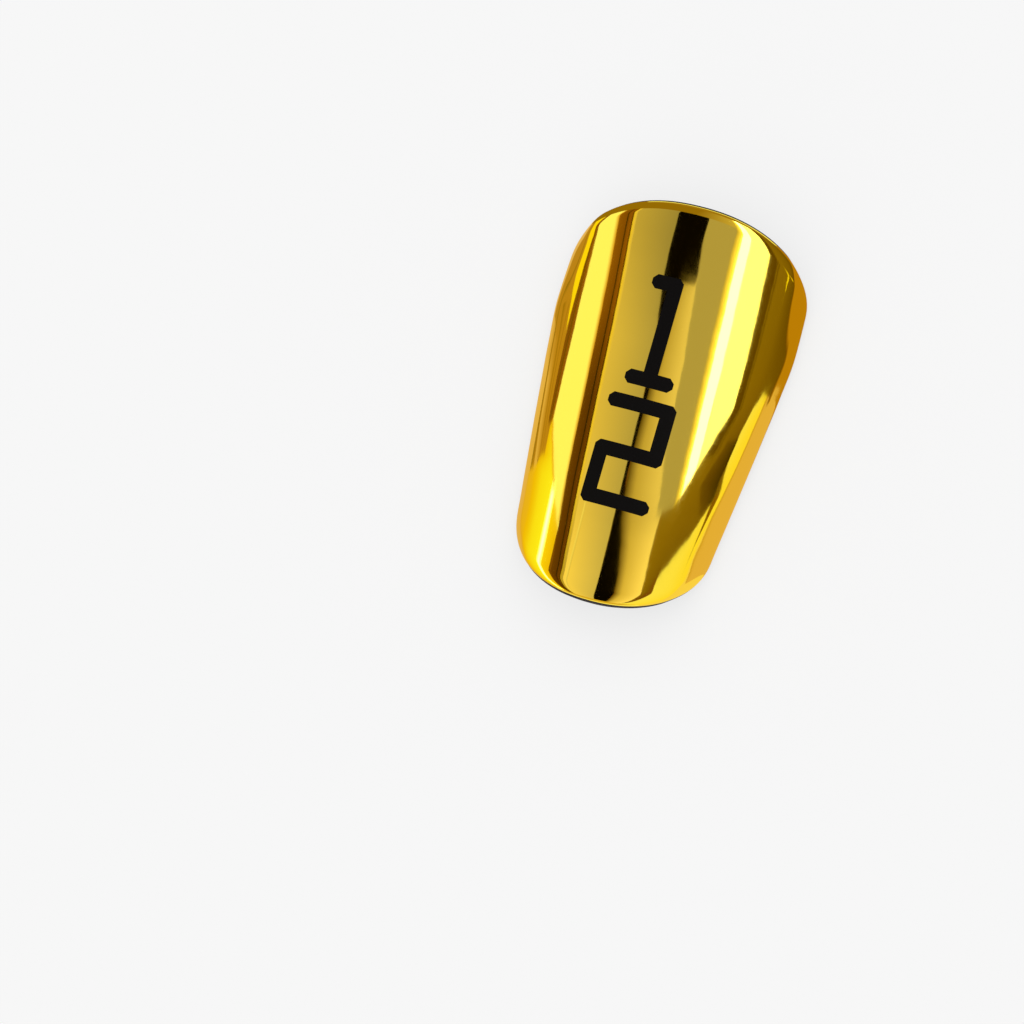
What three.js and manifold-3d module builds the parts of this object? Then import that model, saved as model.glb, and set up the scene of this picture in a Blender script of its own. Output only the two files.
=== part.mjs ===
// A shin pad: a bright hard shell over a soft foam backing, lying crest up on its two long edges.
// Millimetres, +Z up. +Y points to the knee end, X runs across the pad, which is the same on both sides.
// The origin is on the ground below the middle of the pad.
import * as THREE from "three";
import { mergeVertices } from "three/addons/utils/BufferGeometryUtils.js";
import Module from "manifold-3d";

// Driving dimensions
const SHELL_LENGTH = 180; // knee end to ankle end
const SHELL_HALF_WIDTH = 57.1; // crest to side edge at the widest section
const KNEE_RADIUS = 73; // front of the body that goes round the shin, at the knee stand
const ANKLE_RADIUS = 57.5; // the same at the ankle stand
const SHELL_WALL = 2.5;
const SHELL_RIM = 2; // radius of the rounded front edge of the shell
const CREASE_HALF_SPAN = 2.5; // half the width of the soft crease between body and wing
const KNEE_WING_STEEPNESS = 1.296; // fall of the side wing for each millimetre across, at the knee stand
const ANKLE_WING_STEEPNESS = 1.265; // the same at the ankle stand
const FOAM_THICKNESS = 5;
const FOAM_LIP = 0.9; // how far the foam stands out past the shell all round
const FOAM_STAND_DEPTH = 0.8; // how much of the foam's lower corner is flat where the pad stands on it
const SHELL_TO_FOAM_GAP = 0.3;

// Shares of half the length, from the middle to the knee end
const KNEE_STAND = 0.5;
const ANKLE_STAND = -0.67;
const KNEE_CORNER = { start: 0.65, power: 2.27 }; // where each end starts to close, and how square it is
const ANKLE_CORNER = { start: -0.645, power: 2.23 };

// The side lines and creases. along is a share of half the length, width and crease of the half width.
const SECTIONS = [
  { along: -1, width: 0.775, crease: 0.6 },
  { along: -0.67, width: 0.813, crease: 0.64 },
  { along: -0.45, width: 0.853, crease: 0.69 },
  { along: -0.22, width: 0.896, crease: 0.755 },
  { along: 0, width: 0.935, crease: 0.803 },
  { along: 0.22, width: 0.972, crease: 0.835 },
  { along: 0.45, width: 1, crease: 0.847 },
  { along: 1, width: 0.965, crease: 0.82 },
];

// Mesh fineness
const OUTLINE_POINTS = 96;
const SURFACE_RINGS = 12;
const RIM_STEPS = 3;

const HALF_LENGTH = SHELL_LENGTH / 2;

// A smooth value between the sections, from the named column.
function sectionValue(along, column) {
  const last = SECTIONS.length - 1;
  const next = Math.min(
    last,
    Math.max(1, SECTIONS.findIndex((section) => section.along >= along)),
  );
  const steepness = (i) => {
    const before = SECTIONS[Math.max(i - 1, 0)];
    const after = SECTIONS[Math.min(i + 1, last)];
    return (after[column] - before[column]) / (after.along - before.along);
  };
  const a = SECTIONS[next - 1];
  const b = SECTIONS[next];
  return hermite(along, a.along, a[column], steepness(next - 1), b.along, b[column], steepness(next));
}

// The cubic from (x0, v0) to (x1, v1) with the given steepness at each end.
function hermite(x, x0, v0, steep0, x1, v1, steep1) {
  const span = x1 - x0;
  const t = (x - x0) / span;
  const rise = t * t * (3 - 2 * t);
  const leave = t * (1 - t) * (1 - t) * span;
  const arrive = t * t * (t - 1) * span;
  return v0 + (v1 - v0) * rise + steep0 * leave + steep1 * arrive;
}

// How far an end has closed at this place: 1 along the sides, 0 at the very end.
function endShare(along, corner) {
  const end = Math.sign(corner.start);
  const reach = THREE.MathUtils.clamp((along - corner.start) / (end - corner.start), 0, 1);
  return (1 - reach ** corner.power) ** (1 / corner.power);
}

const sideHalfWidth = (y) => SHELL_HALF_WIDTH * sectionValue(y / HALF_LENGTH, "width");
const creaseAcross = (y) => SHELL_HALF_WIDTH * sectionValue(y / HALF_LENGTH, "crease");

// A value that changes evenly from the ankle stand to the knee stand, and on past them.
function betweenStands(y, atAnkle, atKnee) {
  const share = (y / HALF_LENGTH - ANKLE_STAND) / (KNEE_STAND - ANKLE_STAND);
  return atAnkle + (atKnee - atAnkle) * share;
}

// How far a circle of this radius has fallen at this reach from its top.
const circleDrop = (radius, reach) => radius - Math.sqrt(radius ** 2 - reach ** 2);

// How far the side edge lies below the crest at a stand.
function standEdgeDrop(stand, radius, wingSteepness) {
  const y = stand * HALF_LENGTH;
  const crease = creaseAcross(y);
  return circleDrop(radius, crease) + wingSteepness * (sideHalfWidth(y) - crease);
}

const kneeEdgeDrop = standEdgeDrop(KNEE_STAND, KNEE_RADIUS, KNEE_WING_STEEPNESS);
const ankleEdgeDrop = standEdgeDrop(ANKLE_STAND, ANKLE_RADIUS, ANKLE_WING_STEEPNESS);

// The side edges lie in one plane, so that the pad stands on them. This is its height below the crest.
const edgeDrop = (y) => betweenStands(y, ankleEdgeDrop, kneeEdgeDrop);

// How far the front of the shell lies below its crest: the body out to the crease, then the straight wing.
function frontDrop(x, y) {
  const radius = betweenStands(y, ANKLE_RADIUS, KNEE_RADIUS);
  const bodySteepness = (reach) => reach / Math.sqrt(radius ** 2 - reach ** 2);
  const across = Math.abs(x);
  const crease = creaseAcross(y);
  const creaseDrop = circleDrop(radius, crease);
  const wingSteepness = (edgeDrop(y) - creaseDrop) / (sideHalfWidth(y) - crease);
  const inner = crease - CREASE_HALF_SPAN;
  const outer = crease + CREASE_HALF_SPAN;
  if (across <= inner) return circleDrop(radius, across);
  const outerDrop = creaseDrop + wingSteepness * CREASE_HALF_SPAN;
  if (across >= outer) return outerDrop + wingSteepness * (across - outer);
  const innerDrop = circleDrop(radius, inner);
  return hermite(across, inner, innerDrop, bodySteepness(inner), outer, outerDrop, wingSteepness);
}

// The shell's outline from the front, anticlockwise from the side edge on +X, with its outward direction.
function outline() {
  const halfWidthAt = (y) =>
    sideHalfWidth(y) * endShare(y / HALF_LENGTH, KNEE_CORNER) * endShare(y / HALF_LENGTH, ANKLE_CORNER);
  const at = (turn) => {
    const y = HALF_LENGTH * Math.sin(turn);
    const side = Math.sign(Math.round(Math.cos(turn) * 1e6));
    return new THREE.Vector2(side * halfWidthAt(y), y);
  };
  return Array.from({ length: OUTLINE_POINTS }, (_, i) => {
    const step = (2 * Math.PI) / OUTLINE_POINTS;
    const forward = at((i + 0.5) * step).sub(at((i - 0.5) * step));
    return { point: at(i * step), outward: new THREE.Vector2(forward.y, -forward.x).normalize() };
  });
}

// A place on the front of the shell, with the direction straight out of it.
function frontPlace(x, y) {
  const h = 0.05;
  const acrossSlope = (frontDrop(x + h, y) - frontDrop(x - h, y)) / (2 * h);
  const alongSlope = (frontDrop(x, y + h) - frontDrop(x, y - h)) / (2 * h);
  return {
    point: new THREE.Vector3(x, y, -frontDrop(x, y)),
    normal: new THREE.Vector3(acrossSlope, alongSlope, 1).normalize(),
  };
}

// Rings of points around the pad, from near the crest to the edge. depth is measured in from the front.
function surfaceRings(depth) {
  return Array.from({ length: SURFACE_RINGS }, (_, ring) => {
    const share = Math.sin((((ring + 1) / SURFACE_RINGS) * Math.PI) / 2);
    return OUTLINE.map(({ point, outward }) => {
      const inset = point.clone().addScaledVector(outward, -SHELL_RIM).multiplyScalar(share);
      const place = frontPlace(inset.x, inset.y);
      return place.point.addScaledVector(place.normal, -depth);
    });
  });
}

// One ring outside the surface rings: out along the surface from the inset edge, and in from the front.
function edgeRing(out, depth) {
  return OUTLINE.map(({ point, outward }) => {
    const inset = point.clone().addScaledVector(outward, -SHELL_RIM);
    const place = frontPlace(inset.x, inset.y);
    const across = new THREE.Vector3(outward.x, outward.y, 0);
    const outAlong = across.addScaledVector(place.normal, -across.dot(place.normal)).normalize();
    return place.point.addScaledVector(outAlong, out).addScaledVector(place.normal, -depth);
  });
}

// A closed skin over the rings, with one point at each end of the list.
function skin(first, rings, last) {
  const positions = [first, ...rings.flat(), last].flatMap((p) => [p.x, p.y, p.z]);
  const at = (ring, i) => 1 + ring * OUTLINE_POINTS + (i % OUTLINE_POINTS);
  const index = [];
  for (let i = 0; i < OUTLINE_POINTS; i++) {
    index.push(0, at(0, i), at(0, i + 1));
    for (let ring = 0; ring < rings.length - 1; ring++) {
      index.push(at(ring, i), at(ring + 1, i), at(ring + 1, i + 1));
      index.push(at(ring, i), at(ring + 1, i + 1), at(ring, i + 1));
    }
    index.push(at(rings.length - 1, i), positions.length / 3 - 1, at(rings.length - 1, i + 1));
  }
  const geometry = new THREE.BufferGeometry();
  geometry.setAttribute("position", new THREE.Float32BufferAttribute(positions, 3));
  geometry.setIndex(index);
  return geometry;
}

// A sheet that follows the front at two depths, with the rings of its edge between them.
function sheet(frontDepth, backDepth, edgeRings) {
  const crestAt = (depth) => new THREE.Vector3(0, 0, -depth);
  const rings = [...surfaceRings(frontDepth), ...edgeRings, ...surfaceRings(backDepth).reverse()];
  return skin(crestAt(frontDepth), rings, crestAt(backDepth));
}

function shellGeometry() {
  const rim = Array.from({ length: RIM_STEPS }, (_, i) => {
    const turn = (((i + 1) / RIM_STEPS) * Math.PI) / 2;
    return edgeRing(SHELL_RIM * Math.sin(turn), SHELL_RIM * (1 - Math.cos(turn)));
  });
  return sheet(0, SHELL_WALL, [...rim, edgeRing(SHELL_RIM, SHELL_WALL)]);
}

function foamGeometry() {
  const front = SHELL_WALL + SHELL_TO_FOAM_GAP;
  const back = front + FOAM_THICKNESS;
  const out = SHELL_RIM + FOAM_LIP;
  return sheet(front, back, [edgeRing(out, front), edgeRing(out, back)]);
}

function toManifold(wasm, geometry) {
  const bare = geometry.clone();
  for (const name of Object.keys(bare.attributes)) {
    if (name !== "position") bare.deleteAttribute(name);
  }
  const merged = mergeVertices(bare, 1e-4);
  return new wasm.Manifold(
    new wasm.Mesh({
      numProp: 3,
      vertProperties: new Float32Array(merged.attributes.position.array),
      triVerts: new Uint32Array(merged.index.array),
    }),
  );
}

function fromManifold(solid) {
  const mesh = solid.getMesh();
  const geometry = new THREE.BufferGeometry();
  geometry.setAttribute("position", new THREE.BufferAttribute(new Float32Array(mesh.vertProperties), 3));
  geometry.setIndex(new THREE.BufferAttribute(new Uint32Array(mesh.triVerts), 1));
  return geometry;
}

const OUTLINE = outline();
const wasm = await Module();
wasm.setup();

// The pad leans forward until its side edges lie level, and is lifted until the foam just meets the ground.
const lean = Math.atan2(kneeEdgeDrop - ankleEdgeDrop, (KNEE_STAND - ANKLE_STAND) * HALF_LENGTH);
const shellLeaning = shellGeometry().rotateX(lean);
const foamLeaning = foamGeometry().rotateX(lean);
foamLeaning.computeBoundingBox();
const ground = foamLeaning.boundingBox.min.z + FOAM_STAND_DEPTH;

// The foam's lowest corners are cut level with the ground.
const cutter = new THREE.BoxGeometry(4 * SHELL_HALF_WIDTH, 2 * SHELL_LENGTH, SHELL_LENGTH);
cutter.translate(0, 0, ground - SHELL_LENGTH / 2);
const foamStanding = fromManifold(toManifold(wasm, foamLeaning).subtract(toManifold(wasm, cutter)));
foamStanding.computeBoundingBox();
const middle = foamStanding.boundingBox.getCenter(new THREE.Vector3());

const pieces = [
  {
    name: "hard_shell",
    geometry: shellLeaning,
    look: { color: 0xe8b62c, roughness: 0.06, metalness: 1 },
  },
  {
    name: "foam_backing",
    geometry: foamStanding,
    look: { color: 0x46414b, roughness: 0.9, metalness: 0 },
  },
];

const pad = new THREE.Group();
for (const { name, geometry, look } of pieces) {
  geometry.translate(-middle.x, -middle.y, -ground);
  geometry.computeVertexNormals();
  const mesh = new THREE.Mesh(geometry, new THREE.MeshStandardMaterial(look));
  mesh.name = name;
  pad.add(mesh);
}

export default pad;
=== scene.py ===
# %% [markdown]
# # A mirror-bright shin pad
# The object is one loose shin pad, lying crest up: a thin hard shell with a golden mirror finish, and a
# soft dark foam sheet glued behind it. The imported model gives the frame: metres, +Z up, +Y to the knee end.
# Everything here is built around that frame, and moves with its one body.

from math import atan2, cos, pi, radians, sin

import bpy
import numpy as np
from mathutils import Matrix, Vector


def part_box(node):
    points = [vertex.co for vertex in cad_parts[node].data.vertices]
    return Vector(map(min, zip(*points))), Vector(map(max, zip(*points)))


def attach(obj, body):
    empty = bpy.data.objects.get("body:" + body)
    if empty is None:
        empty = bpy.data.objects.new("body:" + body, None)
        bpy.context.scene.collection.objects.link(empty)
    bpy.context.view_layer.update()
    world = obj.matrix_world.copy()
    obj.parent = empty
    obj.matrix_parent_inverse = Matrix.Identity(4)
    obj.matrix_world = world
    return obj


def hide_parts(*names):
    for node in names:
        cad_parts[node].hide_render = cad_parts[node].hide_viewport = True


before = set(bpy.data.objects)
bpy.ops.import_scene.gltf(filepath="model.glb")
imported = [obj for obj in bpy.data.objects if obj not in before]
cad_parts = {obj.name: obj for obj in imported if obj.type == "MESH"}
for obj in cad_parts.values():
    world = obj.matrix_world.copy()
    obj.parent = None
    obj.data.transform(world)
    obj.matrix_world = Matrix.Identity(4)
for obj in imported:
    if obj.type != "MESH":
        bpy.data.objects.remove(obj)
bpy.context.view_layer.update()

# %% [markdown]
# The real pad is moulded, so its form is a few smooth curves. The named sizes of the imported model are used
# again here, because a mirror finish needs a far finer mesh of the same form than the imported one. Sizes are
# in millimetres, and become metres when a finished piece is set down.

# %% Name the sizes of the pad
MM = 0.001
HALF_LENGTH = 90.0
HALF_WIDTH = 57.1
KNEE_RADIUS, ANKLE_RADIUS = 73.0, 57.5
KNEE_DROP, ANKLE_DROP = 29.6, 25.6
KNEE_STAND, ANKLE_STAND = 0.5, -0.67
KNEE_CORNER, ANKLE_CORNER = (0.65, 2.27), (-0.645, 2.23)
SHELL_WALL, RIM_WIDTH, RIM_DEPTH, CREASE_HALF_SPAN = 2.5, 5.0, 1.9, 2.5
FOAM_GAP, FOAM_THICKNESS, FOAM_LIP = 0.3, 5.0, 0.9

SECTION_ALONG = [-1, -0.67, -0.45, -0.22, 0, 0.22, 0.45, 1]
SECTION_WIDTH = [0.775, 0.813, 0.853, 0.896, 0.935, 0.972, 1, 0.965]
SECTION_CREASE = [0.6, 0.64, 0.69, 0.755, 0.803, 0.835, 0.847, 0.82]

# %% [markdown]
# A moulded side line has no corner where two sections meet. A cubic from section to section, with one
# steepness at each of them, gives that smooth line. numpy works it out for all points of a mesh at once.

# %% Draw smooth lines through the sections


def cubic(x, x0, v0, steep0, x1, v1, steep1):
    span = x1 - x0
    t = (x - x0) / span
    rise = v0 + (v1 - v0) * t * t * (3 - 2 * t)
    return rise + steep0 * t * (1 - t) ** 2 * span + steep1 * t * t * (t - 1) * span


def section_value(along, values):
    places, values = np.array(SECTION_ALONG, float), np.array(values, float)
    last = len(places) - 1
    before, after = np.r_[0, 0:last], np.r_[1 : last + 1, last]
    steep = (values[after] - values[before]) / (places[after] - places[before])
    n = np.clip(np.searchsorted(places, along), 1, last)
    return cubic(along, places[n - 1], values[n - 1], steep[n - 1], places[n], values[n], steep[n])


def between_stands(y, at_ankle, at_knee):
    share = (y / HALF_LENGTH - ANKLE_STAND) / (KNEE_STAND - ANKLE_STAND)
    return at_ankle + (at_knee - at_ankle) * share


def side_across(y):
    return HALF_WIDTH * section_value(y / HALF_LENGTH, SECTION_WIDTH)


def crease_across(y):
    return HALF_WIDTH * section_value(y / HALF_LENGTH, SECTION_CREASE)


print("half width at the ankle, middle and knee:", side_across(HALF_LENGTH * np.array([-1, 0, 1])).round(1))

# %% [markdown]
# Seen from the front, each end closes in rounded corners that are a little squarer than an ellipse. Seen
# from the end, the body is part of a circle that narrows to the ankle. A soft crease runs down each side,
# and outside it is a straight wing. front_drop says how far that form lies below the crest at any place.

# %% Describe the outline and the front
TURN_STEP = 0.01


def end_share(along, corner):
    start, power = corner
    reach = np.clip((along - start) / (np.sign(start) - start), 0, 1)
    return (1 - reach**power) ** (1 / power)


def outline(turns, grow):
    """The plan of the pad at these turns from +X, moved out by grow, which may differ from turn to turn."""

    def at(turn):
        y = HALF_LENGTH * np.sin(turn)
        share = end_share(y / HALF_LENGTH, KNEE_CORNER) * end_share(y / HALF_LENGTH, ANKLE_CORNER)
        return np.stack([np.sign(np.cos(turn).round(6)) * side_across(y) * share, y], 1)

    ahead = at(turns + TURN_STEP) - at(turns - TURN_STEP)
    outward = np.stack([ahead[:, 1], -ahead[:, 0]], 1)
    return at(turns) + np.reshape(grow, (-1, 1)) * outward / np.linalg.norm(outward, axis=1)[:, None]


def front_drop(x, y):
    across, crease = np.abs(x), crease_across(y)
    radius = between_stands(y, ANKLE_RADIUS, KNEE_RADIUS)
    inner, outer = crease - CREASE_HALF_SPAN, crease + CREASE_HALF_SPAN

    def body_drop(reach):
        return radius - np.sqrt(radius**2 - reach**2)

    wing_steep = between_stands(y, ANKLE_DROP, KNEE_DROP) - body_drop(crease)
    wing_steep = wing_steep / (side_across(y) - crease)
    outer_drop = body_drop(crease) + wing_steep * CREASE_HALF_SPAN
    body_steep = inner / np.sqrt(radius**2 - inner**2)
    fold = cubic(across, inner, body_drop(inner), body_steep, outer, outer_drop, wing_steep)
    wing = outer_drop + wing_steep * (across - outer)
    body = body_drop(np.minimum(across, inner))
    return np.where(across <= inner, body, np.where(across >= outer, wing, fold))


print("depth of the side at the middle:", front_drop(np.array([side_across(0.0)]), np.zeros(1)).round(1))

# %% [markdown]
# Both sheets of the pad are made like the real ones, from a flat blank that is pressed over a form. A circle
# is drawn in, ring by ring, to its middle, so that the blank has even faces and no seam. Then the disc takes
# the shape of the outline: its outer rings lie at set distances from the edge, and the others close in on
# the middle. Pressing sinks each point by the depth of the form at its place.

# %% Cut a blank and press it over the form
EDGE_BAND, BAND_SHARE, LAST_RING = 8.0, 0.9, 0.015


def only(piece):
    bpy.ops.object.select_all(action="DESELECT")
    piece.select_set(True)
    bpy.context.view_layer.objects.active = piece


def read_points(piece):
    points = np.empty(len(piece.data.vertices) * 3)
    piece.data.vertices.foreach_get("co", points)
    return points.reshape(-1, 3)


def write_points(piece, points):
    piece.data.vertices.foreach_set("co", points.ravel())
    piece.data.update()


def pressed_blank(name, around, insets, inner_rings, grow):
    """Returns the blank, and how far each of its points lies in from the edge, up to the edge band."""
    bpy.ops.object.select_all(action="DESELECT")
    bpy.ops.mesh.primitive_circle_add(vertices=around, radius=1, location=(0, 0, 0))
    piece = bpy.context.object
    piece.name = name
    bpy.ops.object.mode_set(mode="EDIT")
    bpy.ops.mesh.select_mode(type="EDGE")
    bpy.ops.mesh.select_all(action="SELECT")
    shares = 1 - (1 - BAND_SHARE) * np.array(insets) / EDGE_BAND
    now = 1.0
    for share in np.r_[shares, np.linspace(BAND_SHARE, LAST_RING, inner_rings)]:
        bpy.ops.mesh.extrude_edges_move()
        bpy.ops.transform.resize(value=(share / now, share / now, 1))
        now = share
    bpy.ops.mesh.extrude_edges_move()
    bpy.ops.mesh.merge(type="CENTER")
    bpy.ops.object.mode_set(mode="OBJECT")
    if piece.data.polygons[0].normal.z < 0:
        piece.data.flip_normals()
    disc = read_points(piece)
    share = np.hypot(disc[:, 0], disc[:, 1])
    inset = np.clip((1 - share) / (1 - BAND_SHARE), 0, 1) * EDGE_BAND
    plan = outline(np.arctan2(disc[:, 1], disc[:, 0]), grow - inset)
    plan *= np.minimum(share / BAND_SHARE, 1)[:, None]
    write_points(piece, np.c_[plan, -front_drop(plan[:, 0], plan[:, 1])])
    return piece, inset


# %% [markdown]
# A pressed sheet gets its wall from Solidify, which lays a copy of the front further in, point for point.
# Bevel then rounds the long edges of the wall, each by its own weight. The outline was the first ring of the
# blank, so its points come first, and those of its copy come first in the back.

# %% Give a sheet its wall and round its edges
SMOOTH_ANGLE = radians(50)


def give_wall(piece, wall):
    only(piece)
    solid = piece.modifiers.new("wall", "SOLIDIFY")
    solid.thickness, solid.offset, solid.use_even_offset = wall, -1, True
    bpy.ops.object.modifier_apply(modifier="wall")


def round_edges(piece, around, width, segments, front_share, back_share):
    only(piece)
    weights = piece.data.attributes.new("bevel_weight_edge", "FLOAT", "EDGE")
    ends = np.array([edge.vertices for edge in piece.data.edges])
    back_start = len(piece.data.vertices) // 2
    front_edge = (ends < around).all(1)
    back_edge = ((ends >= back_start) & (ends < back_start + around)).all(1)
    weights.data.foreach_set("value", np.where(front_edge, front_share, np.where(back_edge, back_share, 0)))
    bevel = piece.modifiers.new("round", "BEVEL")
    bevel.width, bevel.segments, bevel.limit_method = width, segments, "WEIGHT"
    bpy.ops.object.modifier_apply(modifier="round")
    bpy.ops.object.shade_smooth_by_angle(angle=SMOOTH_ANGLE)
    print(piece.name, "rounded:", front_edge.sum(), back_edge.sum(), "faces:", len(piece.data.polygons))


# %% [markdown]
# The shell is plated plastic, 2.5 mm thick. Its front rolls down to the edge over 5 mm, in a quarter of an
# ellipse, which makes the bright soft border all round. The rings of the blank lie where equal turns of that
# ellipse need them, and each point of the front sinks towards its own copy in the back.

# %% Press the hard shell
SHELL_AROUND, SHELL_INNER_RINGS, RIM_RINGS = 384, 76, 17
rim_turns = np.linspace(0, pi / 2, RIM_RINGS)
rim_insets = RIM_WIDTH * (1 - np.cos(rim_turns))
shell_insets = [*rim_insets[1:], RIM_WIDTH + 0.8, RIM_WIDTH + 1.8]
shell, inset = pressed_blank("shell_plated", SHELL_AROUND, shell_insets, SHELL_INNER_RINGS, grow=0.0)
give_wall(shell, SHELL_WALL)
front, back = np.split(read_points(shell), 2)
reach = np.clip(1 - inset / RIM_WIDTH, 0, 1)
sunk = RIM_DEPTH * (1 - np.sqrt(1 - reach**2))
write_points(shell, np.r_[front + (back - front) * sunk[:, None] / SHELL_WALL, back])
round_edges(shell, SHELL_AROUND, width=0.3, segments=3, front_share=0.0, back_share=1.0)

# %% [markdown]
# The foam backing follows the back of the shell and stands out a little past it at both ends. Its blank is
# larger by that lip. It is pressed over the same form, and Shrink/Fatten moves it in, behind the shell.

# %% Press the foam backing
FOAM_AROUND, FOAM_INNER_RINGS = 288, 46
foam_insets = [1.6, 3.2, 5.0, 6.5]
foam, _ = pressed_blank("foam_sheet", FOAM_AROUND, foam_insets, FOAM_INNER_RINGS, grow=FOAM_LIP)
only(foam)
bpy.ops.object.mode_set(mode="EDIT")
bpy.ops.mesh.select_all(action="SELECT")
bpy.ops.transform.shrink_fatten(value=-(SHELL_WALL + FOAM_GAP))
bpy.ops.object.mode_set(mode="OBJECT")
give_wall(foam, FOAM_THICKNESS)
round_edges(foam, FOAM_AROUND, width=0.9, segments=6, front_share=1.0, back_share=1.0)

# %% [markdown]
# The pad lies with its long edges level, which lifts the knee end a little. Both sheets are turned by that
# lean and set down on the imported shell's place. The foam's lowest edge is soft, and presses flat there.

# %% Set the pad down
LEAN = atan2(KNEE_DROP - ANKLE_DROP, (KNEE_STAND - ANKLE_STAND) * HALF_LENGTH)
LEAN_TURN = np.array([[1, 0, 0], [0, cos(LEAN), -sin(LEAN)], [0, sin(LEAN), cos(LEAN)]])
leaned = read_points(shell) @ LEAN_TURN.T
low, high = (np.array(corner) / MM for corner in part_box("hard_shell"))
SET_DOWN = (low + high) / 2 - (leaned.min(0) + leaned.max(0)) / 2
SET_DOWN[2] = high[2] - leaned.max(0)[2]


def set_down(piece, node=None):
    points = read_points(piece) @ LEAN_TURN.T + SET_DOWN
    points[:, 2] = np.maximum(points[:, 2], 0)
    write_points(piece, points * MM)
    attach(piece, "root")
    if node:
        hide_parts(node)
    print(piece.name, "from", points.min(0).round(2), "to", points.max(0).round(2), "mm")


set_down(shell, "hard_shell")
set_down(foam, "foam_backing")
print("lean:", round(LEAN / pi * 180, 2), "degrees")

# %% [markdown]
# The front carries a large black print down the crest: here a plain stacked number, one digit above the
# other. Each digit is cut from a small grid, as block digits are drawn: the grid's cells are the strokes and
# the gaps between them. A vertex bevel cuts the outer corners.

# %% Cut the digits
STROKE, CORNER_CUT, DIGIT_HALF_HEIGHT, PRINT_HALF_WIDTH = 6.5, 2.0, 25.0, 15.5
CELLS_ACROSS, CELLS_UP = 3, 5
DIGITS = {
    "print_one": (["##.", ".#.", ".#.", ".#.", "###"], (-11, -3.25, 3.25, 11), 31.5),
    "print_two": (["###", "..#", "###", "#..", "###"], (-PRINT_HALF_WIDTH, -9, 9, PRINT_HALF_WIDTH), -23.5),
}


def block_digit(name, rows, across, middle):
    """One face for each cell that the rows mark with #, with cut outer corners."""
    up = [-DIGIT_HALF_HEIGHT, -DIGIT_HALF_HEIGHT + STROKE, -STROKE / 2]
    up = np.array(up + [-value for value in reversed(up)])
    bpy.ops.object.select_all(action="DESELECT")
    cells = {"x_subdivisions": CELLS_ACROSS, "y_subdivisions": CELLS_UP}
    bpy.ops.mesh.primitive_grid_add(**cells, size=2, location=(0, 0, 0))
    piece = bpy.context.object
    piece.name = name
    points = read_points(piece)
    column = np.round((points[:, 0] + 1) / 2 * CELLS_ACROSS).astype(int)
    row = np.round((points[:, 1] + 1) / 2 * CELLS_UP).astype(int)
    write_points(piece, np.c_[np.array(across, float)[column], up[row] + middle, np.zeros(len(points))])
    bpy.ops.object.mode_set(mode="EDIT")
    bpy.ops.mesh.select_mode(type="FACE")
    bpy.ops.mesh.select_all(action="DESELECT")
    bpy.ops.object.mode_set(mode="OBJECT")
    for face in piece.data.polygons:
        face_column = np.searchsorted(across, face.center.x) - 1
        face_row = CELLS_UP - np.searchsorted(up + middle, face.center.y)
        face.select = rows[face_row][face_column] == "."
    bpy.ops.object.mode_set(mode="EDIT")
    bpy.ops.mesh.delete(type="FACE")
    bpy.ops.mesh.select_mode(type="VERT")
    bpy.ops.mesh.select_all(action="DESELECT")
    bpy.ops.object.mode_set(mode="OBJECT")
    uses = np.bincount([v for face in piece.data.polygons for v in face.vertices])
    for vertex in piece.data.vertices:
        vertex.select = bool(uses[vertex.index] == 1)
    bpy.ops.object.mode_set(mode="EDIT")
    bpy.ops.mesh.bevel(offset=CORNER_CUT, segments=1, affect="VERTICES")
    bpy.ops.object.mode_set(mode="OBJECT")
    return piece


digits = [block_digit(name, *shape) for name, shape in DIGITS.items()]
print("faces:", {piece.name: len(piece.data.polygons) for piece in digits})

# %% [markdown]
# Ink lies on the shell and follows its curve. Cut into narrow strips along the pad, a flat digit bends over
# the body like the shell's own front does. It is lifted off the plating by less than a hair, and Solidify
# gives it the thickness of a printed layer.

# %% Lay the digits on the shell
PRINT_LIFT, PRINT_THICKNESS, STRIP_WIDTH = 0.02, 0.06, 1.0


def lay_print(piece):
    only(piece)
    bpy.ops.object.mode_set(mode="EDIT")
    for across in np.arange(-PRINT_HALF_WIDTH, PRINT_HALF_WIDTH + STRIP_WIDTH / 2, STRIP_WIDTH):
        bpy.ops.mesh.select_all(action="SELECT")
        bpy.ops.mesh.bisect(plane_co=(across, 0, 0), plane_no=(1, 0, 0))
    bpy.ops.object.mode_set(mode="OBJECT")
    if piece.data.polygons[0].normal.z < 0:
        piece.data.flip_normals()
    points = read_points(piece)
    points[:, 2] = -front_drop(points[:, 0], points[:, 1])
    write_points(piece, points)
    ink = piece.modifiers.new("ink", "SOLIDIFY")
    ink.thickness, ink.offset = PRINT_THICKNESS, 1
    bpy.ops.object.modifier_apply(modifier="ink")
    write_points(piece, read_points(piece) + np.array([0, 0, PRINT_LIFT]))
    bpy.ops.object.shade_smooth_by_angle(angle=SMOOTH_ANGLE)
    set_down(piece)


for piece in digits:
    lay_print(piece)

# %% [markdown]
# A finish is a small network of nodes. This class writes one as plain arithmetic: it wraps a socket, and an
# expression on wrapped sockets adds the Math nodes that work it out. node adds any other node.

# %% Write finishes as arithmetic


def socket_named(sockets, name):
    spaced = name.replace("_", " ")
    return next(socket for socket in sockets if socket.identifier.replace("_", " ") == spaced)


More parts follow.
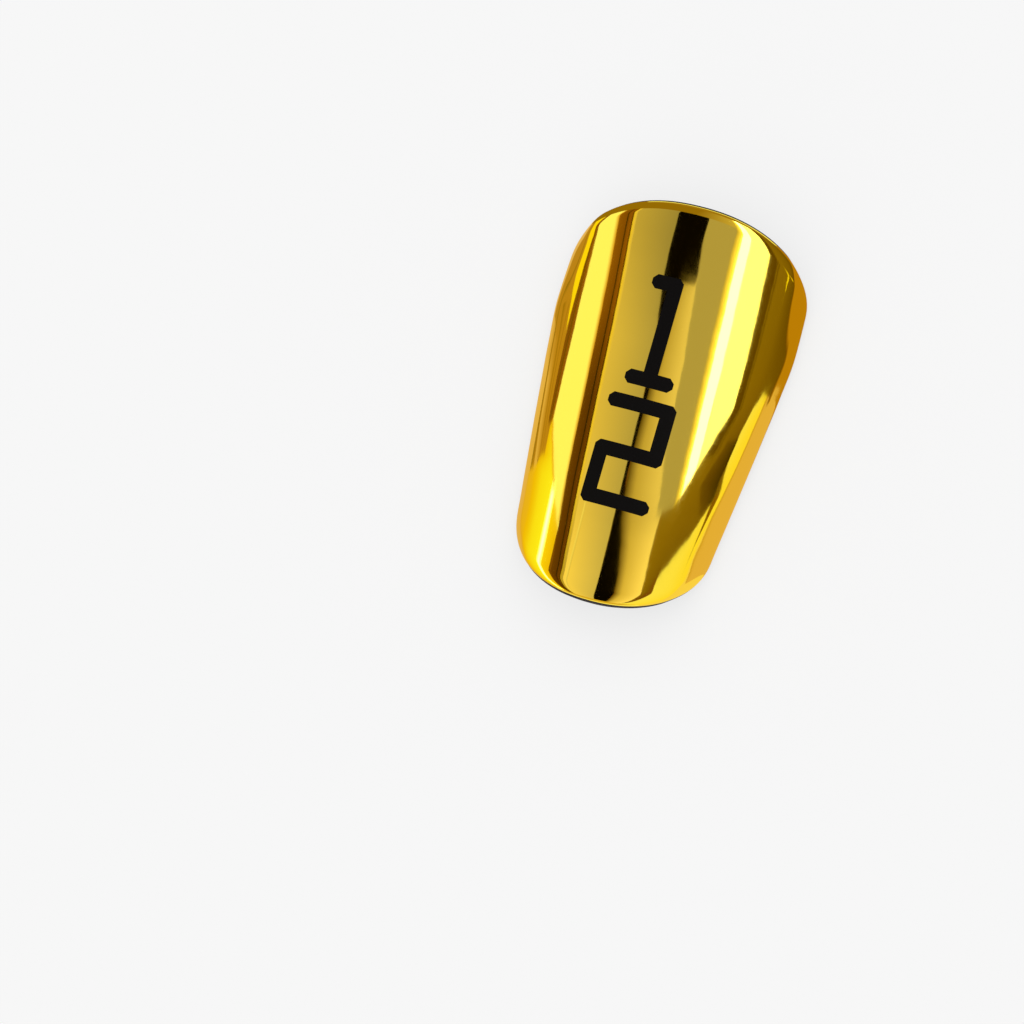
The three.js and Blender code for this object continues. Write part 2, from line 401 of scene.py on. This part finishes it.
class Finish:
    """A new node material, with its Principled shader ready."""

    def __init__(self, name):
        self.material = bpy.data.materials.new(name)
        self.material.use_nodes = True
        self.tree = self.material.node_tree
        self.shader = self.tree.nodes["Principled BSDF"]

    def node(self, kind, result, settings=(), **inputs):
        """Adds a node, and returns its output of that name."""
        made = self.tree.nodes.new("ShaderNode" + kind)
        for name, value in dict(settings).items():
            setattr(made, name, value)
        self.feed(made, **inputs)
        return Term(self, socket_named(made.outputs, result))

    def feed(self, made, **inputs):
        for name, value in inputs.items():
            socket = socket_named(made.inputs, name)
            if isinstance(value, Term):
                self.tree.links.new(value.socket, socket)
            else:
                socket.default_value = value

    def set(self, **inputs):
        self.feed(self.shader, **inputs)

    def noise(self, scale):
        place = self.node("TexCoord", "Object")
        return self.node("TexNoise", "Fac", Vector=place, Scale=scale, Detail=2.0)

    def bump(self, height, strength, distance):
        return self.node("Bump", "Normal", Height=height, Strength=strength, Distance=distance)


class Term:
    """A value in a finish, that can be added, multiplied and so on."""

    def __init__(self, finish, socket):
        self.finish, self.socket = finish, socket

    def math(self, operation, first, second):
        values = {"Value": first, "Value_001": second}
        return self.finish.node("Math", "Value", {"operation": operation}, **values)

    def __add__(self, other):
        return self.math("ADD", self, other)

    def __radd__(self, other):
        return self.math("ADD", other, self)

    def __mul__(self, other):
        return self.math("MULTIPLY", self, other)

    def __rmul__(self, other):
        return self.math("MULTIPLY", other, self)


# %% [markdown]
# The shell's skin is vacuum plating: a metal film, mirror smooth, over plastic that was never quite flat. So
# the finish is a metal with hardly any roughness, and a very weak, broad bump makes its reflections waver.

# %% Finish the shell in golden plating
gold = Finish("golden_plating")
gold.set(
    Base_Color=(1.0, 0.76, 0.13, 1),
    Metallic=1.0,
    Roughness=0.03 + 0.03 * gold.noise(260),
    Normal=gold.bump(gold.noise(42), 0.06, 0.0006),
)
shell.data.materials.append(gold.material)
print("golden plating:", len(gold.tree.nodes), "nodes")

# %% [markdown]
# The backing is closed-cell foam. It is matt and nearly black, with pores of a few tenths of a millimetre,
# and its colour is a little uneven where the cells are larger.

# %% Finish the foam
cells = Finish("closed_cell_foam")
pores = cells.node("TexVoronoi", "Distance", Vector=cells.node("TexCoord", "Object"), Scale=1400.0)
patches = cells.noise(90)
dark, light = (0.022, 0.019, 0.024, 1), (0.045, 0.04, 0.05, 1)
mixed = {"Factor_Float": patches, "A_Color": dark, "B_Color": light}
shade = cells.node("Mix", "Result_Color", {"data_type": "RGBA"}, **mixed)
cells.set(Base_Color=shade, Roughness=0.95, Normal=cells.bump(pores + 0.5 * patches, 0.5, 0.0003))
foam.data.materials.append(cells.material)
print("closed-cell foam:", len(cells.tree.nodes), "nodes")

# %% [markdown]
# Screen ink dries to a satin black, much duller than the mirror below it.

# %% Finish the print
ink = Finish("print_ink")
ink.set(Base_Color=(0.004, 0.0035, 0.004, 1), Roughness=0.4 + 0.1 * ink.noise(400), Specular_IOR_Level=0.05)
for piece in digits:
    piece.data.materials.append(ink.material)
print("print ink:", len(ink.tree.nodes), "nodes on", len(digits), "digits")

# %% [markdown]
# The pad lies on a plain pale light table. The table's own glow keeps the shadow round the pad faint. A
# mirror shows its whole surroundings, so the floor isn't shown to it: it sees the light tent below instead.

# %% Lay the floor
FLOOR_SIZE = 30
bpy.ops.object.select_all(action="DESELECT")
bpy.ops.mesh.primitive_plane_add(size=FLOOR_SIZE, location=(0, 0, 0))
floor = bpy.context.object
floor.name = "floor"
paper = Finish("pale_table")
paper.set(Base_Color=(0.25, 0.25, 0.25, 1), Roughness=0.95, Specular_IOR_Level=0.0)
paper.set(Emission_Color=(1, 1, 1, 1), Emission_Strength=0.68)
floor.data.materials.append(paper.material)
floor.visible_glossy = False
print("floor:", tuple(floor.dimensions.to_2d()), "m")

# %% [markdown]
# A photographer lights a mirror with what it reflects. This studio has a light tent: a tube along the pad,
# hung with sheets of card and lit cloth. Each sheet is a strip between two edges. A row gives a place along
# the tent in millimetres, the angles of the left and right edge there from straight up, in degrees towards
# +X, and where it isn't 1 the share of the sheet's light. The light fades across a sheet from its left
# colour to its right one, and later sheets hang in front of earlier ones. First come the tent's size and the
# colours of its cards and cloths.

# %% Name the tent's size and colours
# Every sheet glows, and the cards, flags and floor stand-ins are no lamps. Their colours are painted light:
# the light and shade each would show when lit.
TENT_RADIUS, TENT_END = 1200.0, 1600.0
BLACK, UMBER, OLIVE = (0.003, 0.002, 0.0), (0.2, 0.09, 0.01), (0.27, 0.18, 0.007)
RUST, ORANGE, GOLD = (0.5, 0.29, 0.04), (0.88, 0.64, 0.01), (0.96, 0.82, 0.36)
AMBER, YELLOW, PEACH = (1.0, 0.87, 0.02), (1.0, 1.1, 0.06), (0.78, 0.55, 0.25)
SEPIA, DUSK, COPPER = (0.15, 0.09, 0.0), (0.05, 0.03, 0.0), (0.5, 0.27, 0.01)
TAR, WALNUT, BROWN = (0.1, 0.055, 0.0), (0.12, 0.05, 0.0), (0.3, 0.19, 0.01)
TAUPE, GREY, PALE = (0.55, 0.45, 0.2), (0.45, 0.41, 0.3), (0.72, 0.61, 0.3)
CREAM, WHITE, HOT = (1.1, 1.2, 0.75), (2.0, 2.1, 1.6), (5.0, 5.0, 5.0)
print("tent:", 2 * TENT_RADIUS, "mm across,", 2 * TENT_END, "mm long")

# %% [markdown]
# The left of the tent shows in the left wing and beside the left crease: a broad cream softbox, warm card
# below it, and a dark cloth between the softbox and the arch. The cloth is cut in parts, each between two
# shares of its width, and its darkest narrow part is painted shade that stands in for a fold. Narrow darker
# strips over the floor sheets and inside the flag are painted shade lines too.

# %% Plan the left of the tent
DARK_CLOTH = [(-1600, -52, -39.2, 0.5), (-80, -51, -39.7, 0.5), (0, -57, -43.9, 0.5),
              (80, -58.8, -46.5, 0.5), (160, -60.2, -48.6, 0.9), (200, -61.3, -50.2), (240, -62.8, -51.8),
              (1600, -62.8, -51.8)]


def part(rows, start, end):
    return [(y, a + (b - a) * start, a + (b - a) * end, *light) for y, a, b, *light in rows]


LEFT_SHEETS = [
    ("room", UMBER, UMBER, [(-1600, -180, 180), (1600, -180, 180)]),
    # The floor sheets glow in place of the pale floor, which the mirror doesn't see. They are a painted
    # reflection of the lit floor, light and shade included, in peach and rust.
    ("floor_far_left", PEACH, PEACH,
     [(-1600, -180, -108), (0, -180, -108), (90, -180, -110), (130, -180, -125), (1600, -180, -125)]),
    ("floor_left", PEACH, RUST, [(0, -112, -104), (90, -112, -104), (130, -126, -106), (1600, -126, -106)]),
    ("floor_near_left", RUST, RUST,
     [(-10, -104, -80), (130, -106, -80), (180, -130, -80), (1600, -130, -80)]),
    # Painted shade: two narrow darker lines and a darker band, laid over the floor sheets.
    ("painted_shade_line_far_left", (0.33, 0.2, 0.01), RUST, [(10, -103, -101), (110, -104.5, -102), (190, -110, -106)]),
    ("painted_shade_line_near_left", RUST, (0.33, 0.19, 0.01), [(0, -97, -95.5), (100, -99, -97), (170, -101, -99)]),
    ("painted_shade_band_rim_left", OLIVE, RUST, [(-60, -115, -112), (300, -115.5, -112), (1600, -115.5, -112)]),
    ("glow_far_left", AMBER, AMBER,
     [(136, -91.5, -90.5), (170, -96, -87.5), (200, -102, -85.5), (225, -106, -84), (1600, -108, -84)]),
    ("low_far_left", (0.75, 0.5, 0.1), ORANGE, [(-1600, -118, -109), (-5, -118, -109)]),
    ("low_left", ORANGE, YELLOW, [(-1600, -109, -70), (-5, -109, -70), (15, -87, -72), (48, -87, -80)]),
    ("low_near_left", AMBER, ORANGE, [(-1600, -66, -50), (-16, -66, -54)]),
    ("streak_left", YELLOW, HOT, [(-1600, -70.5, -67.2), (-60, -70.8, -67.4), (-5, -71, -68.5)]),
    ("streak_right", HOT, AMBER, [(-1600, -67.2, -63), (-60, -67.4, -63.5), (-5, -68.5, -65)]),
    ("low_seam", (0.85, 0.42, 0.0), ORANGE, [(-16, -68.8, -66.7), (30, -82, -79.8), (48, -86.5, -85)]),
    ("softbox_left", CREAM, CREAM,
     [(-48, -53, -52.5), (-16, -66.7, -58.6), (48, -85, -61), (160, -81.7, -63.2), (200, -79.8, -64.3),
      (240, -78.8, -65.8), (1600, -78.8, -65.8)]),
    ("softbox_left_edge", CREAM, (0.7, 0.36, 0.01),
     [(-40, -56.4, -53.2), (-16, -58.6, -55.6), (48, -61, -58), (160, -63.2, -60.2), (200, -64.3, -61.3),
      (240, -65.8, -62.8), (1600, -65.8, -62.8)]),
    ("flag_far_left", UMBER, (0.3, 0.12, 0.005),
     [(44, -91, -86), (120, -90, -82.7), (160, -88, -81.7), (220, -84.5, -80), (240, -83.5, -78.8),
      (1600, -83.5, -78.8)]),
    # Painted shade: a darker line inside the flag.
    ("painted_shade_line_in_left_flag", SEPIA, SEPIA,
     [(44, -89, -88), (120, -87.2, -86.2), (200, -83.8, -83), (240, -81.5, -81)]),
    ("dark_cloth", (0.28, 0.12, 0.005), (0.22, 0.09, 0.003), part(DARK_CLOTH, 0, 0.56)),
    # Painted shade: the darkest narrow part of the cloth, standing in for a fold.
    ("dark_cloth_painted_shade_strip", DUSK, DUSK, part(DARK_CLOTH, 0.56, 0.64)),
    ("dark_cloth_back", (0.22, 0.09, 0.004), (0.3, 0.12, 0.004), part(DARK_CLOTH, 0.64, 0.9)),
    ("dark_cloth_hem", WALNUT, WALNUT, part(DARK_CLOTH, 0.9, 1)),
]
print("sheets on the left:", len(LEFT_SHEETS))

# %% [markdown]
# Over the pad hangs an arch of grey cloth with a golden hem on its left. A black bar runs along its middle,
# broad at both ends of the tent and thin between them, and shows as the dark line down the crest. Right of
# the bar the cloth lies in its shade, which lightens away from it.

# %% Plan the arch over the crest
LOW_SHADE = [(-1600, 17, 41, 1.3), (-92, 15.5, 39.5, 1.3), (-72, 13, 37, 1.25), (-40, 6, 34, 1.15),
             (-22, 1.5, 33), (0, -2, 26.7), (40, -5.5, 20), (120, -7.5, 12.5), (200, -9, 4.2)]
ARCH_SHEETS = [
    ("arch_edge", (0.95, 0.76, 0.08), PALE,
     [(-1600, -39.2, -36, 0.6), (-80, -39.7, -36.5, 0.6), (0, -43.9, -41), (80, -46.5, -43.5),
      (160, -48.6, -45.5), (200, -50.2, -47.5), (240, -51.8, -49.5), (1600, -51.8, -49.5)]),
    ("arch_left", PALE, GREY,
     [(-1600, -36, -2.5, 1.4), (-80, -36.5, -2.8, 1.4), (0, -41, -6.2, 1.1), (80, -43.5, -9.2),
      (140, -45, -12.5), (200, -47.5, -19, 0.85), (240, -49.5, -20.8, 0.75), (1600, -49.5, -20.8, 0.75)]),
    ("arch_gleam", (0.95, 0.92, 0.6), PALE, [(-1600, -33, -30.5), (-20, -34, -32), (20, -35.5, -35)]),
    ("bar_wide", BLACK, BLACK, [(198, -19.3, 4.2), (240, -20.8, 0), (1600, -21, -0.5)]),
    ("bar", BLACK, BLACK,
     [(-1600, -2.5, 17), (-80, -2.8, 15), (-40, -4.2, 6), (-20, -5.3, 1.2), (20, -7.2, -4.8), (100, -10, -7),
      (140, -12.3, -8.3), (200, -19.3, -9)]),
    ("shade_near_bar", (0.1, 0.065, 0.005), TAUPE, part(LOW_SHADE, 0, 0.28)),
    ("shade_right", TAUPE, (0.85, 0.74, 0.48), part(LOW_SHADE, 0.28, 1)),
    ("arch_right", GREY, GREY,
     [(-22, 32, 33), (-16, 29, 42), (0, 26.7, 40), (40, 20, 35.8), (120, 12.5, 28.3), (198, 4.2, 23),
      (240, 0, 20), (1600, -0.5, 20)]),
]
print("sheets of the arch:", len(ARCH_SHEETS))

# %% [markdown]
# The right softbox is much brighter, with a hot stripe along its left. A large dark flag cuts it off aslant,
# which makes the dark wedge that crosses the right crease, and a narrow dark cloth hangs along the flag's
# edge. A lighter narrow strip in that cloth is a painted highlight standing in for a fold, and a narrow dark
# line by the copper sheet is painted shade. Sheets that glow in place of the floor beyond show in the right
# wing: a painted reflection of the lit floor. Two last sheets hang over the knee end, so that the rim there
# turns brown.

# %% Plan the right and the far end of the tent
HIGH_CLOTH = [(30, 51.6, 60), (72, 60.5, 66.5), (120, 56.7, 63), (220, 46, 53.6), (240, 44.5, 52),
              (1600, 44.5, 52)]
RIGHT_SHEETS = [
    ("softbox_edge", (0.55, 0.45, 0.15), (1.6, 1.4, 0.4),
     [(-16, 41.7, 45.5), (0, 40, 44), (40, 35.8, 40), (120, 28.3, 33), (200, 22.5, 27), (240, 20, 24.5),
      (1600, 20, 24.5)]),
    ("softbox_hot", HOT, HOT,
     [(-16, 45.5, 51), (0, 44, 50), (40, 40, 47), (120, 33, 40.5), (200, 27, 33.5), (240, 24.5, 30.5),
      (1600, 24.5, 30.5)]),
    ("softbox_right", WHITE, WHITE,
     [(-16, 51, 61), (72, 45, 61), (120, 40.5, 56.7), (200, 33.5, 48.3), (240, 30.5, 44.5),
      (1600, 30.5, 44.5)]),
    # These floor sheets glow in place of the floor beyond: a painted reflection of the lit floor.
    ("floor_right", (1.0, 1.0, 0.4), (1.0, 0.9, 0.12),
     [(-1600, 40, 92), (-17, 50, 92), (50, 70, 92), (100, 84, 92)]),
    ("low_far_right", GOLD, GOLD, [(-1600, 92, 180), (-60, 92, 180)]),
    ("floor_far_right", (0.6, 0.38, 0.03), PEACH, [(-150, 99, 100), (-60, 92, 94), (100, 92, 94)]),
    ("floor_end_right", PEACH, PEACH, [(-150, 100, 180), (-60, 94, 180), (100, 94, 180)]),
    ("flag_right", OLIVE, (0.18, 0.11, 0.005),
     [(-1600, 41, 42), (-104, 41, 43), (-92, 39.5, 46), (-72, 37, 55), (-56, 35.5, 62), (-44, 34.5, 68),
      (-36, 33.7, 80), (-30, 33.3, 86), (-20, 33, 83.5), (-16, 41.7, 82.5), (0, 45.2, 78.3), (16, 48.6, 75),
      (32, 52, 73.7), (48, 55.3, 74.2), (72, 60.5, 79.5), (90, 59.8, 87)]),
    ("flag_tip", (0.2, 0.1, 0.0), (0.25, 0.12, 0.0),
     [(-76, 85, 86), (-50, 82, 87), (-36, 79, 87.5), (-30, 80, 86)]),
    ("flag_high_right", OLIVE, SEPIA, [(90, 59.8, 96), (120, 56.7, 96), (240, 44.5, 96), (1600, 44.5, 96)]),
    ("floor_high_right", COPPER, COPPER, [(96, 97.5, 180), (1600, 97.5, 180)]),
    # Painted shade: a narrow dark line at the edge of the copper floor sheet.
    ("painted_shade_line_high_right", (0.12, 0.06, 0.0), COPPER, [(80, 94.5, 98), (240, 95.5, 98), (1600, 95.5, 98)]),
    ("high_cloth", (0.14, 0.08, 0.0), TAR, part(HIGH_CLOTH, 0, 0.84)),
    # Painted highlight: a lighter narrow strip in the dark cloth, standing in for a fold.
    ("high_cloth_painted_highlight_strip", OLIVE, (0.35, 0.24, 0.01), part(HIGH_CLOTH, 0.84, 0.93)),
    ("high_cloth_hem", TAR, TAR, part(HIGH_CLOTH, 0.93, 1.03)),
    ("glint_right", AMBER, AMBER, [(186, 67.5, 68.5), (202, 64.5, 70), (214, 61.5, 66.5), (224, 58.5, 61)]),
    ("glint_high_right", ORANGE, AMBER, [(226, 68, 70), (240, 73.5, 79), (256, 80, 88), (275, 87, 92)]),
    ("flag_core", (0.15, 0.09, 0.005), DUSK, [(-30, 66, 80), (0, 57, 73), (40, 66, 75)]),
]
END_SHEETS = [
    ("end_left", BROWN, BROWN, [(430, -180, -10), (1600, -180, -10)]),
    ("end_middle", BROWN, (0.6, 0.5, 0.2), [(430, -10, 21), (1600, -10, 21)]),
]
SHEETS = LEFT_SHEETS + ARCH_SHEETS + RIGHT_SHEETS + END_SHEETS
print("sheets in all:", len(SHEETS))

# %% [markdown]
# A sheet is a grid with one row of points for each place. Where an edge runs aslant, rows are added between,
# so that the sheet keeps to the tube and never dips in front of the next one, 2 mm nearer. Its light is an
# Emission shader that reads the colours of its points. A board closes each end of the tube: pale below,
# where it stands for the floor, and dim above. All of it shows in reflections only: the soft light on the
# floor comes from the sky.

# %% Hang the light tent
MOST_TURN, COLUMN_TURN, LAYER_STEP, BOARD_ROWS = 1.5, 3.0, 2, 16
END_BOARDS = {"knee_end": (1, (0.35, 0.22, 0.02)), "ankle_end": (-1, (0.7, 0.5, 0.08))}
shine = Finish("tent_light")
cloth = shine.node("Attribute", "Color", {"attribute_name": "light"})
lamp = shine.node("Emission", "Emission", Color=cloth)
shine.tree.links.new(lamp.socket, shine.tree.nodes["Material Output"].inputs["Surface"])
shine.material.cycles.emission_sampling = "NONE"


def grid(columns, rows):
    bpy.ops.object.select_all(action="DESELECT")
    bpy.ops.mesh.primitive_grid_add(x_subdivisions=columns, y_subdivisions=rows, size=2, location=(0, 0, 0))
    return bpy.context.object


def hang(sheet, name, colours):
    sheet.name = "tent_" + name
    light = sheet.data.color_attributes.new("light", "FLOAT_COLOR", "POINT")
    light.data.foreach_set("color", np.c_[colours, np.ones(len(colours))].ravel())
    sheet.data.materials.append(shine.material)
    sheet.visible_camera = sheet.visible_diffuse = sheet.visible_shadow = sheet.visible_transmission = False


def finer(rows):
    """The rows with their light share, and more of them wherever an edge turns by over MOST_TURN degrees."""
    rows = np.array([(*row, 1.0)[:4] for row in rows])
    steps = 1 + (np.abs(np.diff(rows[:, 1:3], axis=0)).max(1) / MOST_TURN).astype(int)
    places = np.concatenate([[0], *(n + np.arange(1, count + 1) / count for n, count in enumerate(steps))])
    return [np.interp(places, range(len(rows)), column) for column in rows.T]


for layer, (name, left, right, rows) in enumerate(SHEETS):
    along, left_edge, right_edge, share = finer(rows)
    gaps = len(along) - 1
    sheet = grid(1 + int((right_edge - left_edge).max() / COLUMN_TURN), gaps)
    points = read_points(sheet)
    across = (points[:, 0] + 1) / 2
    row = np.round((points[:, 1] + 1) / 2 * gaps).astype(int)
    turn = np.radians(left_edge[row] + (right_edge - left_edge)[row] * across)
    radius = TENT_RADIUS - LAYER_STEP * layer
    write_points(sheet, MM * np.c_[radius * np.sin(turn), along[row], radius * np.cos(turn)])
    colours = np.array(left) + (np.array(right) - np.array(left)) * across[:, None]
    hang(sheet, name, colours * share[row][:, None])

for name, (side, dim) in END_BOARDS.items():
    board = grid(1, BOARD_ROWS)
    points = read_points(board)
    across, height = (points[:, :2] * TENT_RADIUS).T
    write_points(board, MM * np.c_[across, np.full(len(points), side * TENT_END), height])
    hang(board, name, np.where(height[:, None] < 0, CREAM, dim))
print("tent pieces:", len(SHEETS) + len(END_BOARDS))

# %% [markdown]
# The rest of the light is a pale, even sky, which gives the floor a soft shadow where the pad meets it.

# %% Light the room
world = bpy.data.worlds.new("pale_room")
world.use_nodes = True
sky = world.node_tree.nodes["Background"]
sky.inputs["Color"].default_value = (1, 1, 1, 1)
sky.inputs["Strength"].default_value = 1.0
bpy.context.scene.world = world
print("sky of the room:", world.name)

# %% [markdown]
# The photograph was taken from almost straight above with a long lens. The camera's place and turns were
# worked out from the pad's outline, so the picture can be laid over it. The Standard view keeps the gold
# saturated, where the default one would bleach it.

# %% Set up the camera
PLACE, TURNS = (0.1717, -0.1621, 1.0667), (radians(8.527), radians(9.622), radians(16.854))
bpy.ops.object.camera_add(location=PLACE, rotation=TURNS)
camera = bpy.context.object
camera.data.lens, camera.data.sensor_width = 85, 36
bpy.context.scene.camera = camera
bpy.context.scene.view_settings.view_transform = "Standard"
print("camera:", round(camera.location.length, 2), "m from the middle of the floor")
